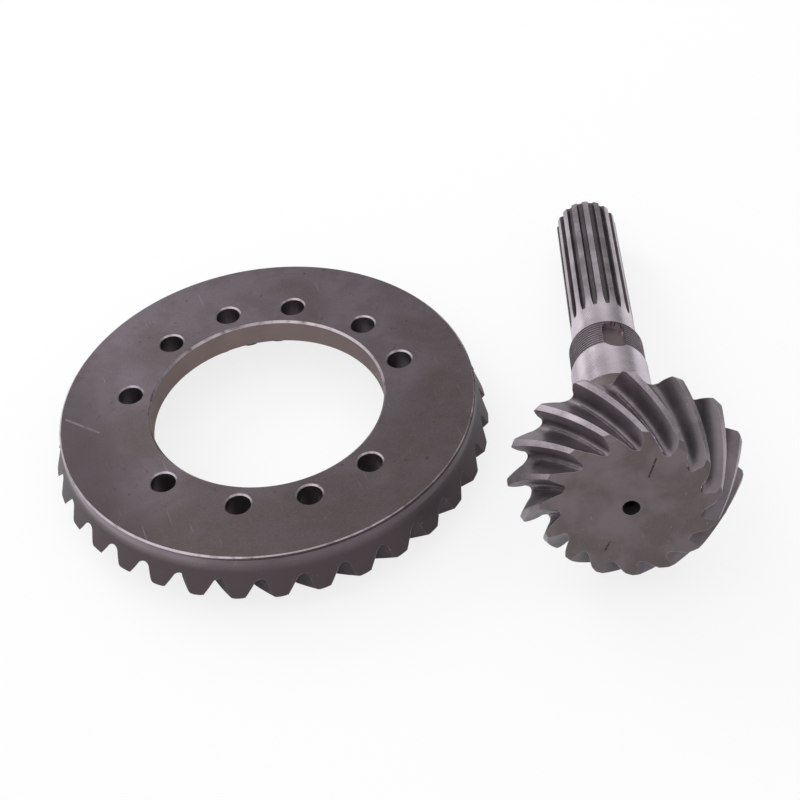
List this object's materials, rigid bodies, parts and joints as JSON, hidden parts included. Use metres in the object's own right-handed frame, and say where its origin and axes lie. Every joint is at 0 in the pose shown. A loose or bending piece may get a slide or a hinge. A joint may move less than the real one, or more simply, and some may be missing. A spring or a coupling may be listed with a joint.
{
  "type": "ring and pinion gear set",
  "caption": "Spiral bevel ring gear with a bored, drilled flange, and its mating pinion with a stepped shaft, lock nut thread and splined end.",
  "frame": {"origin": "middle of the ring gear's bore, halfway through its bolted flange", "axes": "+Z along the ring's axis and out of its back face, away from its teeth, +X through a bolt hole; the bench that both gears lie on is 28.6 mm below the origin"},
  "size_m": [0.3507, 0.2988, 0.1118],
  "materials": {
    "ring_steel": "dark machined steel with a thin grey-mauve oxide, bright at its edges",
    "pinion_steel": "case hardened steel, dark on the tooth flanks and ground bright on the shaft"
  },
  "bodies": {
    "root": {"ring_gear": "ring_steel", "pinion_shaft": "pinion_steel"}
  },
  "joints": []
}
